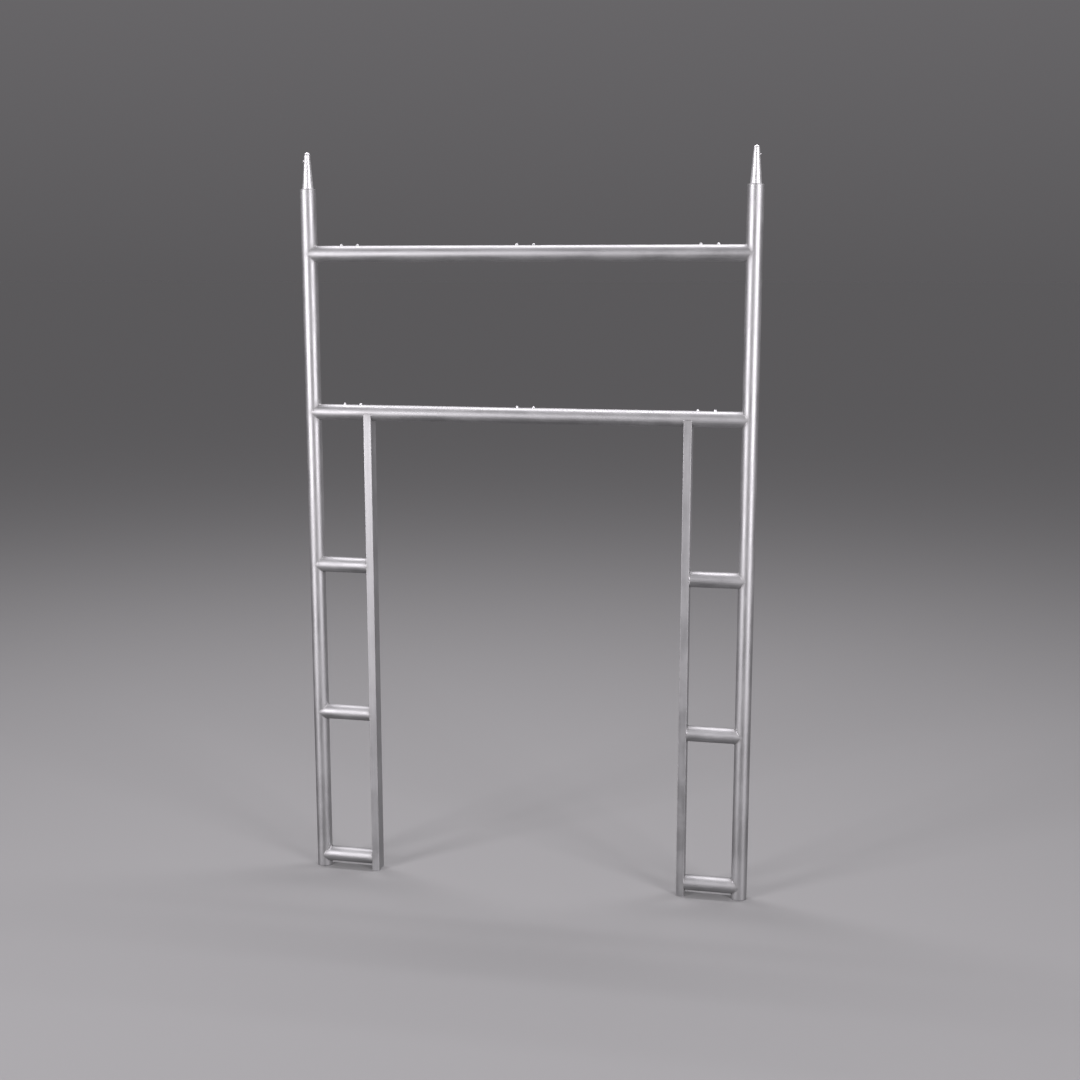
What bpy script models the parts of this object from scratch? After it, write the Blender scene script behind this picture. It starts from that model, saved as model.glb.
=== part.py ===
"""Walk-through scaffold end frame in welded aluminium tube.

Two posts with tapered stacking spigots, two ledgers, two rectangular inner legs and three rungs on each
side, with pairs of low studs along the ledgers and a spring catch near the tip of each spigot.
Metres, +Z up. The origin is on the floor, midway between the posts; -Y is the front.
"""

import math

import bmesh
import bpy

# Layout of the frame
POST_SPACING = 1.400  # between the post axes
POST_HEIGHT = 2.240
LEVEL_PITCH = 0.500  # from rung to rung and ledger to ledger
BOTTOM_LEVEL = 0.040  # axis of the lowest rung
RUNG_LEVELS = 3
LEG_OFFSET = 0.175  # post axis to the near face of the inner leg

# Round tube of the posts, ledgers and rungs
TUBE_RADIUS = 0.025
TUBE_WALL = 0.002
TUBE_BORE = TUBE_RADIUS - TUBE_WALL
TUBE_SIDES = 48
RIM_CHAMFER = 0.0008

# Rectangular tube of the inner legs
LEG_WIDTH = 0.025
LEG_DEPTH = 0.050
LEG_WALL = 0.002
LEG_CORNER = 0.0015
LEG_BORE_CORNER = 0.0005
CORNER_SEGMENTS = 4

# Spigot: heights are measured from the top rim of the post
SPIGOT_HEIGHT = 0.1125
SPIGOT_ROOT_LENGTH = 0.150
SPIGOT_BASE_RADIUS = 0.0176
SPIGOT_TAPER = 0.0802  # loss of radius per unit of height
SPIGOT_WALL = 0.003
SPIGOT_DOME_START = 0.103
SPIGOT_CAVITY_TOP = 0.094
SPIGOT_FLOOR = 0.004  # end wall of the root, with a hole in it
SPIGOT_FLOOR_HOLE = 0.007
SHOULDER_DEPTH = 0.008
DOME_STEPS = 7
SPIGOT_SIDES = 40

# Cross pin through post and spigot root
PIN_RADIUS = 0.004
PIN_DROP = 0.040  # below the post rim
PIN_LENGTH = 0.0492
PIN_CHAMFER = 0.0004
PIN_SIDES = 24

# Spring catch: radii from the spigot axis, heights from the post rim
CATCH_HEIGHT = 0.086
BUTTON_RADIUS = 0.003
BUTTON_PROUD = 0.0035
FLANGE_RADIUS = 0.0042
FLANGE_THICKNESS = 0.001
FLANGE_OUTER = 0.0057
BUTTON_SIDES = 24
SPRING_THICKNESS = 0.0005
SPRING_WIDTH = 0.005
SPRING_BUTTON_X = 0.0041
SPRING_WALL_X = -0.00635
SPRING_RISE = 0.003  # leg ends above the button axis
SPRING_DROP = 0.040  # bend centre below the button axis
SPRING_BEND_RADIUS = 0.0016
SPRING_BEND_STEPS = 8

# Deck studs on the ledgers
STUD_RADIUS = 0.005
STUD_HEIGHT = 0.0055
STUD_SKIRT = 0.0015  # straight side below the dome
STUD_PAIR_CENTRES = (-0.567, 0.0, 0.567)
STUD_HALF_PAIR = 0.0265
STUD_SIDES = 20
STUD_DOME_STEPS = 4

# Working values
GAP = 0.0003  # between welded, pressed or running neighbours
MERGE_DISTANCE = 0.00005
CUTTER_MARGIN = 0.010
SMOOTH_ANGLE = math.radians(30)

POST_X = POST_SPACING / 2
COPE_RADIUS = TUBE_RADIUS + GAP
CATCH_SURFACE = SPIGOT_BASE_RADIUS - SPIGOT_TAPER * CATCH_HEIGHT
SIDES = (("left", -1), ("right", 1))

MATERIALS = {
    "tube_aluminium": ((0.61, 0.61, 0.615), 0.53, 1.0),
    "leg_aluminium": ((0.61, 0.61, 0.615), 0.53, 1.0),
    "spigot_aluminium": ((0.95, 0.95, 0.955), 0.50, 1.0),
    "stud_aluminium": ((0.84, 0.84, 0.845), 0.40, 1.0),
    "pin_steel": ((0.61, 0.61, 0.62), 0.50, 1.0),
    "button_steel": ((0.86, 0.86, 0.87), 0.38, 1.0),
    "spring_steel": ((0.40, 0.42, 0.46), 0.30, 1.0),
}


def level(number):
    """Height of the tube axis at a level, counted from the lowest rung."""
    return BOTTOM_LEVEL + number * LEVEL_PITCH


LOWER_LEDGER_LEVEL = RUNG_LEVELS
TOP_LEDGER_LEVEL = RUNG_LEVELS + 1


def clear_scene():
    for obj in list(bpy.data.objects):
        bpy.data.objects.remove(obj)


def make_collection(name):
    collection = bpy.data.collections.new(name)
    bpy.context.scene.collection.children.link(collection)
    return collection


def make_material(name):
    colour, roughness, metallic = MATERIALS[name]
    material = bpy.data.materials.new(name)
    material.use_nodes = True
    shader = material.node_tree.nodes["Principled BSDF"]
    shader.inputs["Base Color"].default_value = (*colour, 1.0)
    shader.inputs["Roughness"].default_value = roughness
    shader.inputs["Metallic"].default_value = metallic
    return material


def add_object(name, bm, collection, location=(0, 0, 0), rotation=(0, 0, 0)):
    """Link a new object that holds the bmesh."""
    mesh = bpy.data.meshes.new(name)
    bm.to_mesh(mesh)
    bm.free()
    obj = bpy.data.objects.new(name, mesh)
    obj.location = location
    obj.rotation_euler = rotation
    collection.objects.link(obj)
    return obj


def turned(name, profile, sides, collection, closed=False, location=(0, 0, 0), rotation=(0, 0, 0)):
    """Spin (radius, height) points about local Z. They run down the outer side, top to bottom."""
    bm = bmesh.new()
    points = [bm.verts.new((radius, 0, height)) for radius, height in profile]
    for upper, lower in zip(points, points[1:]):
        bm.edges.new((upper, lower))
    if closed:
        bm.edges.new((points[-1], points[0]))
    obj = add_object(name, bm, collection, location, rotation)
    screw = obj.modifiers.new("turn", "SCREW")
    screw.axis = "Z"
    screw.angle = math.tau
    screw.steps = sides
    screw.render_steps = sides
    screw.use_merge_vertices = True
    screw.merge_threshold = MERGE_DISTANCE
    return obj


def as_cutter(obj):
    obj.display_type = "WIRE"
    obj.hide_render = True
    return obj


def rod_cutter(name, radius, length, sides, location, rotation=(0, 0, 0)):
    """A cylinder along local Z, centred on its location."""
    bm = bmesh.new()
    bmesh.ops.create_cone(
        bm, cap_ends=True, segments=sides, radius1=radius, radius2=radius, depth=length
    )
    return as_cutter(add_object(name, bm, cutters, location, rotation))


def cut(obj, cutter):
    boolean = obj.modifiers.new(cutter.name, "BOOLEAN")
    boolean.operation = "DIFFERENCE"
    boolean.solver = "EXACT"
    boolean.object = cutter


def rounded_bar(name, width, depth, height, corner, collection, location):
    """An upright bar with round vertical edges, standing on its location."""
    bm = bmesh.new()
    bmesh.ops.create_cube(bm, size=1.0)
    bmesh.ops.scale(bm, vec=(width, depth, height), verts=bm.verts)
    bmesh.ops.translate(bm, vec=(0, 0, height / 2), verts=bm.verts)
    upright = [edge for edge in bm.edges if abs(edge.verts[0].co.z - edge.verts[1].co.z) > height / 2]
    bmesh.ops.bevel(
        bm, geom=upright, offset=corner, segments=CORNER_SEGMENTS, profile=0.5, affect="EDGES"
    )
    return add_object(name, bm, collection, location)


def dome(radius, base, height, steps):
    """Points of a half ellipse, from the crown on the axis down to the widest ring."""
    angles = [math.pi / 2 * (1 - step / steps) for step in range(steps + 1)]
    return [(radius * math.cos(a) if step else 0.0, base + height * math.sin(a))
            for step, a in enumerate(angles)]


def cone_radius(height):
    """Outer radius of the spigot at a height above the post rim."""
    return SPIGOT_BASE_RADIUS - SPIGOT_TAPER * height


def tube_profile(length):
    return [
        (TUBE_RADIUS, length),
        (TUBE_RADIUS, 0),
        (TUBE_BORE, 0),
        (TUBE_BORE, length),
    ]


def make_frame_cutters():
    """Cylinders that shape the coped ends of every tube that meets a post or a ledger."""
    posts = {
        side: rod_cutter(
            f"{side}_post_cope",
            COPE_RADIUS,
            POST_HEIGHT + 2 * CUTTER_MARGIN,
            TUBE_SIDES,
            (sign * POST_X, 0, POST_HEIGHT / 2),
        )
        for side, sign in SIDES
    }
    ledgers = {
        name: rod_cutter(
            f"{name}_ledger_cope",
            COPE_RADIUS,
            POST_SPACING,
            TUBE_SIDES,
            (0, 0, level(number)),
            (0, math.pi / 2, 0),
        )
        for name, number in (("lower", LOWER_LEDGER_LEVEL), ("top", TOP_LEDGER_LEVEL))
    }
    return posts, ledgers


def make_post(side, sign):
    profile = [
        (TUBE_RADIUS - RIM_CHAMFER, POST_HEIGHT),
        (TUBE_RADIUS, POST_HEIGHT - RIM_CHAMFER),
        (TUBE_RADIUS, RIM_CHAMFER),
        (TUBE_RADIUS - RIM_CHAMFER, 0),
        (TUBE_BORE, 0),
        (TUBE_BORE, POST_HEIGHT),
    ]
    return turned(
        f"{side}_post", profile, TUBE_SIDES, parts, closed=True, location=(sign * POST_X, 0, 0)
    )


def make_spigot(side, sign):
    """Hollow tapered plug: a round root inside the post, a shoulder at the rim and a domed cone."""
    root = TUBE_BORE - GAP
    dome_radius = cone_radius(SPIGOT_DOME_START)
    profile = dome(dome_radius, SPIGOT_DOME_START, SPIGOT_HEIGHT - SPIGOT_DOME_START, DOME_STEPS)
    profile += [
        (SPIGOT_BASE_RADIUS, 0),
        (root - RIM_CHAMFER, 0),
        (root, -RIM_CHAMFER),
        (root, -SPIGOT_ROOT_LENGTH + RIM_CHAMFER),
        (root - RIM_CHAMFER, -SPIGOT_ROOT_LENGTH),
        (SPIGOT_FLOOR_HOLE, -SPIGOT_ROOT_LENGTH),
        (SPIGOT_FLOOR_HOLE, SPIGOT_FLOOR - SPIGOT_ROOT_LENGTH),
        (root - SPIGOT_WALL, SPIGOT_FLOOR - SPIGOT_ROOT_LENGTH),
        (root - SPIGOT_WALL, -SHOULDER_DEPTH),
        (SPIGOT_BASE_RADIUS - SPIGOT_WALL, 0),
        (cone_radius(SPIGOT_CAVITY_TOP) - SPIGOT_WALL, SPIGOT_CAVITY_TOP),
        (0, SPIGOT_CAVITY_TOP),
    ]
    spigot = turned(
        f"{side}_spigot", profile, SPIGOT_SIDES, parts, location=(sign * POST_X, 0, POST_HEIGHT)
    )
    hole_reach = CATCH_SURFACE + CUTTER_MARGIN
    cut(
        spigot,
        rod_cutter(
            f"{side}_button_hole",
            BUTTON_RADIUS + GAP,
            hole_reach,
            BUTTON_SIDES,
            (sign * (POST_X + hole_reach / 2), 0, POST_HEIGHT + CATCH_HEIGHT),
            (0, math.pi / 2, 0),
        ),
    )
    return spigot


def make_spigot_pin(side, sign, post, spigot):
    """Solid pin through the post and the spigot root, from front to back and dressed flush."""
    centre = (sign * POST_X, 0, POST_HEIGHT - PIN_DROP)
    hole = rod_cutter(
        f"{side}_pin_hole",
        PIN_RADIUS + GAP,
        2 * (TUBE_RADIUS + CUTTER_MARGIN),
        PIN_SIDES,
        centre,
        (math.pi / 2, 0, 0),
    )
    cut(post, hole)
    cut(spigot, hole)
    end = PIN_LENGTH / 2
    profile = [
        (0, end),
        (PIN_RADIUS - PIN_CHAMFER, end),
        (PIN_RADIUS, end - PIN_CHAMFER),
        (PIN_RADIUS, PIN_CHAMFER - end),
        (PIN_RADIUS - PIN_CHAMFER, -end),
        (0, -end),
    ]
    return turned(
        f"{side}_spigot_pin", profile, PIN_SIDES, parts, location=centre, rotation=(math.pi / 2, 0, 0)
    )


def make_catch_button(side, sign):
    """Domed button that slides along X. Its origin is where its axis crosses the spigot axis."""
    crown = CATCH_SURFACE + BUTTON_PROUD
    profile = dome(BUTTON_RADIUS, crown - BUTTON_RADIUS, BUTTON_RADIUS, DOME_STEPS)
    profile += [
        (BUTTON_RADIUS, FLANGE_OUTER),
        (FLANGE_RADIUS, FLANGE_OUTER),
        (FLANGE_RADIUS, FLANGE_OUTER - FLANGE_THICKNESS),
        (0, FLANGE_OUTER - FLANGE_THICKNESS),
    ]
    return turned(
        f"{side}_catch_button",
        profile,
        BUTTON_SIDES,
        parts,
        location=(sign * POST_X, 0, POST_HEIGHT + CATCH_HEIGHT),
        rotation=(0, sign * math.pi / 2, 0),
    )


def spring_path():
    """Side view of the hairpin: down the button leg, round the bend and up the wall leg."""
    path = [(SPRING_BUTTON_X, SPRING_RISE)]
    for step in range(SPRING_BEND_STEPS + 1):
        angle = -math.pi * step / SPRING_BEND_STEPS
        path.append(
            (
                SPRING_BEND_RADIUS * math.cos(angle),
                SPRING_BEND_RADIUS * math.sin(angle) - SPRING_DROP,
            )
        )
    path.append((SPRING_WALL_X, SPRING_RISE))
    return path


def make_catch_spring(side, sign):
    """Hairpin of flat spring strip inside the spigot, behind the button."""
    bm = bmesh.new()
    edge_points = [bm.verts.new((sign * x, -SPRING_WIDTH / 2, z)) for x, z in spring_path()]
    edges = [bm.edges.new(pair) for pair in zip(edge_points, edge_points[1:])]
    swept = bmesh.ops.extrude_edge_only(bm, edges=edges)["geom"]
    far_points = [item for item in swept if isinstance(item, bmesh.types.BMVert)]
    bmesh.ops.translate(bm, vec=(0, SPRING_WIDTH, 0), verts=far_points)
    spring = add_object(
        f"{side}_catch_spring", bm, parts, (sign * POST_X, 0, POST_HEIGHT + CATCH_HEIGHT)
    )
    strip = spring.modifiers.new("strip", "SOLIDIFY")
    strip.thickness = SPRING_THICKNESS
    strip.offset = 0
    strip.use_even_offset = True
    return spring


def make_ledger(name, number, post_cutters):
    """Round tube from post to post, with both ends coped to the posts."""
    ledger = turned(
        f"{name}_ledger",
        tube_profile(POST_SPACING),
        TUBE_SIDES,
        parts,
        closed=True,
        location=(-POST_X, 0, level(number)),
        rotation=(0, math.pi / 2, 0),
    )
    for cutter in post_cutters.values():
        cut(ledger, cutter)
    return ledger


def make_rung(side, sign, number, post_cutter):
    """Round tube with a coped end at the post and a square end at the inner leg."""
    rung = turned(
        f"{side}_rung_{number + 1}",
        tube_profile(LEG_OFFSET - GAP),
        TUBE_SIDES,
        parts,
        closed=True,
        location=(sign * POST_X, 0, level(number)),
        rotation=(0, -sign * math.pi / 2, 0),
    )
    cut(rung, post_cutter)
    return rung


def make_inner_leg(side, sign, ledger_cutter):
    """Rectangular tube from the floor to the lower ledger, open below and coped above."""
    x = sign * (POST_X - LEG_OFFSET - LEG_WIDTH / 2)
    height = level(LOWER_LEDGER_LEVEL)
    leg = rounded_bar(
        f"{side}_inner_leg", LEG_WIDTH, LEG_DEPTH, height, LEG_CORNER, parts, (x, 0, 0)
    )
    bore = rounded_bar(
        f"{side}_leg_bore",
        LEG_WIDTH - 2 * LEG_WALL,
        LEG_DEPTH - 2 * LEG_WALL,
        height + 2 * CUTTER_MARGIN,
        LEG_BORE_CORNER,
        cutters,
        (x, 0, -CUTTER_MARGIN),
    )
    cut(leg, as_cutter(bore))
    cut(leg, ledger_cutter)
    return leg


def make_deck_stud(name, x, number, ledger_cutter):
    """Low domed stud, coped to sit on the crown of a ledger."""
    crown = TUBE_RADIUS + STUD_HEIGHT
    dome_base = TUBE_RADIUS + STUD_SKIRT
    profile = dome(STUD_RADIUS, dome_base, crown - dome_base, STUD_DOME_STEPS)
    profile += [(STUD_RADIUS, TUBE_BORE), (0, TUBE_BORE)]
    stud = turned(name, profile, STUD_SIDES, parts, location=(x, 0, level(number)))
    cut(stud, ledger_cutter)
    return stud


def finish(obj, material):
    """Fix the modelled shape as a mesh, smooth its round faces and give it its material."""
    depsgraph = bpy.context.evaluated_depsgraph_get()
    mesh = bpy.data.meshes.new_from_object(obj.evaluated_get(depsgraph))
    mesh.name = obj.name
    obj.modifiers.clear()
    obj.data = mesh
    mesh.shade_smooth()
    mesh.set_sharp_from_angle(angle=SMOOTH_ANGLE)
    mesh.materials.clear()
    mesh.materials.append(material)


def build():
    post_cutters, ledger_cutters = make_frame_cutters()
    made = []
    for side, sign in SIDES:
        post = make_post(side, sign)
        spigot = make_spigot(side, sign)
        pin = make_spigot_pin(side, sign, post, spigot)
        made += [(post, "tube_aluminium"), (spigot, "spigot_aluminium"), (pin, "pin_steel")]
        made.append((make_catch_button(side, sign), "button_steel"))
        made.append((make_catch_spring(side, sign), "spring_steel"))
        made.append((make_inner_leg(side, sign, ledger_cutters["lower"]), "leg_aluminium"))
        for number in range(RUNG_LEVELS):
            made.append((make_rung(side, sign, number, post_cutters[side]), "tube_aluminium"))
    halves = (-STUD_HALF_PAIR, STUD_HALF_PAIR)
    stud_places = [centre + half for centre in STUD_PAIR_CENTRES for half in halves]
    for name, number in (("lower", LOWER_LEDGER_LEVEL), ("top", TOP_LEDGER_LEVEL)):
        made.append((make_ledger(name, number, post_cutters), "tube_aluminium"))
        for count, x in enumerate(stud_places, start=1):
            stud = make_deck_stud(f"{name}_deck_stud_{count}", x, number, ledger_cutters[name])
            made.append((stud, "stud_aluminium"))
    bpy.context.view_layer.update()
    materials = {name: make_material(name) for name in MATERIALS}
    for obj, material_name in made:
        finish(obj, materials[material_name])


clear_scene()
parts = make_collection("walk_through_frame")
cutters = make_collection("cutters")
build()
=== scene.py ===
"""Looks of the walk-through scaffold end frame: fine surfaces, weld beads, finishes, studio and camera.

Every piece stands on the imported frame, so places and sizes are read from the boxes of its nodes.
Metres, +Z up; -Y is the front of the frame.
"""

import math
import random

import bmesh
import bpy
from mathutils import Matrix, Vector
from mathutils.kdtree import KDTree


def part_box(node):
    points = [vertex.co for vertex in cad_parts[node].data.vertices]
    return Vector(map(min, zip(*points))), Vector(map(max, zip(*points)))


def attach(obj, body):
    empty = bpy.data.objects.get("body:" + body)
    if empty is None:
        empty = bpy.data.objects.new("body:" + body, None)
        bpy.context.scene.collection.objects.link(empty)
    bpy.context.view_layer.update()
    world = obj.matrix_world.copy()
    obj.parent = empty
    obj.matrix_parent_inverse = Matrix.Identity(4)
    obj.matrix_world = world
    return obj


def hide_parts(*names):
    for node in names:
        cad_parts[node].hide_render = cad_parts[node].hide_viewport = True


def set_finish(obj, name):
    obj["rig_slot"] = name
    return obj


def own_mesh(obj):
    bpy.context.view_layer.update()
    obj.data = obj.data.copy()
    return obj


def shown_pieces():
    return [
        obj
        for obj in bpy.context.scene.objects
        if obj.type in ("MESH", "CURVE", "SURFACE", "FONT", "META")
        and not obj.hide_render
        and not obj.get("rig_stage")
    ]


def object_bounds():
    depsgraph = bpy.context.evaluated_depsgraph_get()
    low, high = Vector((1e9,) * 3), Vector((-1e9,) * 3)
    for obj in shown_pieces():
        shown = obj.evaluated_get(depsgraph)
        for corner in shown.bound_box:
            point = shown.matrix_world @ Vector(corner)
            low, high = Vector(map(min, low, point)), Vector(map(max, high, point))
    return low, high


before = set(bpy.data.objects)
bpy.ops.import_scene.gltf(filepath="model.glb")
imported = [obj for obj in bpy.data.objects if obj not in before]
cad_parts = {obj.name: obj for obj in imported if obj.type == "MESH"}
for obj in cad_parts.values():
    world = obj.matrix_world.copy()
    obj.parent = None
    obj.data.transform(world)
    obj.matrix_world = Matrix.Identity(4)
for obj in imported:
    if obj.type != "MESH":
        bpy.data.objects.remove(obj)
cad_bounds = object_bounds()

SIDES = (("left", -1), ("right", 1))
FRAME_BODY = "frame"

# Sections that the boxes don't show
TUBE_WALL = 0.002
RIM_CHAMFER = 0.0008
ROUNDING = 0.3  # where the middle ring of a rounded edge lies, as a share of the edge
LEG_WALL = 0.002
LEG_CORNER = 0.0015
LEG_BORE_CORNER = 0.0005
LEG_FOOT_CHAMFER = 0.0005
SPIGOT_WALL = 0.003
SPIGOT_BASE_RADIUS = 0.0176
SPIGOT_TAPER = 0.0802  # loss of radius per unit of height
SPIGOT_DOME = 0.0095  # height of the rounded tip
SPIGOT_CAVITY_TOP = 0.094
SPIGOT_FLOOR = 0.004
SPIGOT_FLOOR_HOLE = 0.007
SPIGOT_FILLET = 0.0009
SHOULDER_DEPTH = 0.008
PIN_DISH = 0.00015  # depth of the dressed pin end below the tube's surface
PIN_CHAMFER = 0.0003
PIN_CLEARANCE = 0.00005
BUTTON_RADIUS = 0.003
BUTTON_FLANGE = 0.001
BUTTON_CHAMFER = 0.0002  # of the flange
BUTTON_CLEARANCE = 0.0003
BUTTON_HOLE_LENGTH = 0.030  # of the drill, from the spigot's axis outwards
SPRING_THICKNESS = 0.0005
SPRING_WIDTH = 0.005
SPRING_EDGE = 0.00012  # radius of the strip's edges
SPRING_TOP = 0.003  # of both legs, above the button's axis
SPRING_BEND = (0.0016, -0.040)  # radius, and height of its centre from the button's axis
SPRING_LEGS = (0.0041, -0.00635)  # of the strip's two tips, behind the button and at the far wall
STUD_SKIRT = 0.0015
STUD_FLARE = 0.0009
STUD_FLARE_CURVE = ((0.0, 1.0), (0.15, 0.5), (0.45, 0.18), (1.0, 0.0))  # (outwards, upwards) shares
STUD_SUNK = 0.00004

# Weld beads
BEAD_LEG = 0.0020  # from the corner to each toe where the tubes meet square
BEAD_FLAT = 0.0011  # the same where their surfaces run into each other
BEAD_CROWN = 0.0003
BEAD_SUNK = 0.001  # depth of the root below the corner
TOE_SUNK = 0.00003  # depth of the toes below a round tube's surface
BEAD_PITCH = 0.0022
BEAD_DRIFT = ((3, 0.07), (7, 0.05))  # waves round the bead, and how much each changes its width
CROWN_DRIFT = (13, 0.15)
TOE_RIPPLE = 0.05
RIPPLE_BOW = 0.45  # lag of a ripple's middle behind its toes, in ripples
RIPPLE_DEPTH = 0.2
RIPPLE_POWER = 0.7  # below 1 the ripples are round, with sharp valleys between them
BEAD_MEASURE_SAMPLES = 64
TANGENT_STEP = 0.0008  # of a turn
BEAD_STEPS = 7  # samples along one ripple
BEAD_POINTS = 7  # from toe to toe
BEAD_SOFTENING = 0.0024  # rounds the point of the saddle
# reach of the darker halo by the welds: partly weld soot, partly painted shade where the tubes meet
SOOT_SHADE_REACH = 0.020

# Metals, in linear colours
PIECE_SHIFT = 7.0  # largest shift of the noise from one piece to the next
GRAZING_TINT = 0.2  # reflection kept near grazing angles; low values darken the outlines
TUBE_LIGHT = (0.64, 0.64, 0.645)
TUBE_DARK = (0.57, 0.57, 0.575)
TUBE_ROUGHNESS = 0.53
SCUFF_COLOUR = (0.74, 0.74, 0.745)
# colour of the halo by the welds: partly weld soot, partly painted shade where the tubes meet
SOOT_SHADE_COLOUR = (0.42, 0.415, 0.41)
BEAD_LIGHT = (0.56, 0.56, 0.565)
BEAD_DARK = (0.48, 0.475, 0.48)

# Studio
FLOOR_REACH = 400.0
FLOOR_COLOUR = (0.40, 0.40, 0.40)
FLOOR_ROUGHNESS = 0.7
LIGHT_COLOUR = (1.0, 0.965, 1.01)
HORIZON_COLOUR = (0.1055, 0.1018, 0.1065)
ZENITH_COLOUR = (0.290, 0.280, 0.293)
REAR_COLOUR = (0.450, 0.435, 0.454)
REAR_SPREAD = (0.4, 0.9)  # cosines of the angles from +Y where that colour starts and is full
FLOOR_EDGE = -0.03  # sine of an angle safely below the far edge of the floor
SIDE_SPREAD = math.radians(120)  # narrow, so that the floor beside a softbox doesn't burn out
OPEN_SPREAD = math.radians(180)

# Softboxes: place, aim, width and height, watts, spread
SOFTBOXES = {
    "left_softbox": ((-4.2, -4.9, 2.1), (0, 0, 1.2), (1.8, 3.2), 119, SIDE_SPREAD),
    "right_softbox": ((5.1, -4.0, 2.1), (0, 0, 1.2), (2.2, 3.2), 112, SIDE_SPREAD),
    "overhead_softbox": ((-0.4, 1.5, 6.0), (-0.4, 0, 1.2), (7.0, 1.0), 205, OPEN_SPREAD),
}

# Camera
LENS_MM = 50
SENSOR_MM = 36
CAMERA_PLACE = (1.0173, -4.5867, 1.9774)
CAMERA_PITCH = math.radians(79.947)  # from straight down
CAMERA_TURN = math.radians(11.947)

# Mesh fineness
TUBE_POINTS = 96
SPIGOT_POINTS = 96
SMALL_POINTS = 48  # round studs, pins, buttons and holes
SIDE_POINTS = 26  # across the deep side of an inner leg
FACE_POINTS = 8
CORNER_POINTS = 8
DOME_STEPS = 14
STUD_DOME_STEPS = 12
CONE_STEPS = 40
PIN_FACE_STEPS = 5
SPRING_BEND_STEPS = 24
SPRING_CORNER_STEPS = 3
COARSE_STEP = 0.060
FINE_STEP = 0.003
FINE_REACH = 0.045  # to each side of a joint
LEAST_STEP = 0.6 * FINE_STEP  # marks closer than this are merged
SHARP_ANGLE = math.radians(32)

post_low, post_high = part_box("left_post")
TUBE_RADIUS = (post_high.y - post_low.y) / 2
POST_HEIGHT = post_high.z
TUBE_BORE = TUBE_RADIUS - TUBE_WALL


def centre(node):
    low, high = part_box(node)
    return (low + high) / 2


POST_X = {side: centre(f"{side}_post").x for side, sign in SIDES}
LEDGER_Z = {name: centre(f"{name}_ledger").z for name in ("lower", "top")}
RUNG_NUMBERS = (1, 2, 3)
STUD_NUMBERS = range(1, 7)
RUNG_Z = [centre(f"left_rung_{number}").z for number in RUNG_NUMBERS]


# ---------------------------------------------------------------- mesh helpers


def turn_to_x(sign):
    """Rotation that lays local Z along world X, towards the given side."""
    return Matrix.Rotation(sign * math.pi / 2, 4, "Y")


def circle(radius, height, count):
    return [
        (radius * math.cos(math.tau * i / count), radius * math.sin(math.tau * i / count), height)
        for i in range(count)
    ]


def quads_between(near, far):
    """Faces from one ring of vertices to the next; a ring may be a single point."""
    count = max(len(near), len(far))
    for i in range(count):
        j = (i + 1) % count
        if len(near) == 1:
            yield near[0], far[j], far[i]
        elif len(far) == 1:
            yield near[i], near[j], far[0]
        else:
            yield near[i], near[j], far[j], far[i]


def add_object(name, bm, placement):
    """Object in the scene with the shape of the bmesh, which is freed."""
    mesh = bpy.data.meshes.new(name)
    bm.to_mesh(mesh)
    bm.free()
    obj = bpy.data.objects.new(name, mesh)
    obj.matrix_world = placement
    bpy.context.scene.collection.objects.link(obj)
    return obj


def skin(name, rings, placement, closed=False):
    """Object whose surface runs through the rings, placed by a matrix."""
    bm = bmesh.new()
    rows = [[bm.verts.new(point) for point in ring] for ring in rings]
    pairs = list(zip(rows, rows[1:]))
    if closed:
        pairs.append((rows[-1], rows[0]))
    for near, far in pairs:
        for corners in quads_between(near, far):
            bm.faces.new(corners)
    bmesh.ops.recalc_face_normals(bm, faces=bm.faces)
    return add_object(name, bm, placement)


def turned(name, profile, count, placement):
    """Surface of revolution about local Z through (radius, height) points; radius 0 is a pole."""
    rings = [circle(radius, height, count) if radius else [(0, 0, height)] for radius, height in profile]
    return skin(name, rings, placement)


def drill(obj, radius, length, middle, rotation):
    """Cut a round hole through the object, about a world point."""
    bm = bmesh.new()
    bmesh.ops.create_cone(
        bm, cap_ends=True, segments=SMALL_POINTS, radius1=radius, radius2=radius, depth=length
    )
    cutter = add_object("drill", bm, Matrix.Translation(middle) @ rotation)
    hole = obj.modifiers.new("hole", "BOOLEAN")
    hole.operation = "DIFFERENCE"
    hole.solver = "EXACT"
    hole.object = cutter
    depsgraph = bpy.context.evaluated_depsgraph_get()
    cut_mesh = bpy.data.meshes.new_from_object(obj.evaluated_get(depsgraph))
    obj.modifiers.clear()
    obj.data = cut_mesh
    bpy.data.objects.remove(cutter)


def stations(length, joints):
    """Shares of a length, close together near the joints and wide apart elsewhere."""
    marks = {0.0, length}
    marks.update(COARSE_STEP * i for i in range(1, int(length / COARSE_STEP)))
    reach = int(FINE_REACH / FINE_STEP)
    for joint in joints:
        marks.update(joint + FINE_STEP * i for i in range(-reach, reach + 1))
    marks = sorted(mark for mark in marks if 0 <= mark <= length)
    kept = [marks[0]]
    for mark in marks[1:]:
        if mark - kept[-1] > LEAST_STEP:
            kept.append(mark)
    kept[-1] = length
    return [mark / length for mark in kept]


def arc_dome(radius, base, height, steps):
    """Half ellipse from the pole down to the widest ring."""
    angles = [math.pi / 2 * (1 - step / steps) for step in range(steps + 1)]
    return [(radius * math.cos(a) if step else 0, base + height * math.sin(a))
            for step, a in enumerate(angles)]


def saddle(y):
    """Height of a round tube's surface above the plane of its axis, at a distance y from the axis."""
    return math.sqrt(max(0.0, TUBE_RADIUS * TUBE_RADIUS - y * y))


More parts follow.
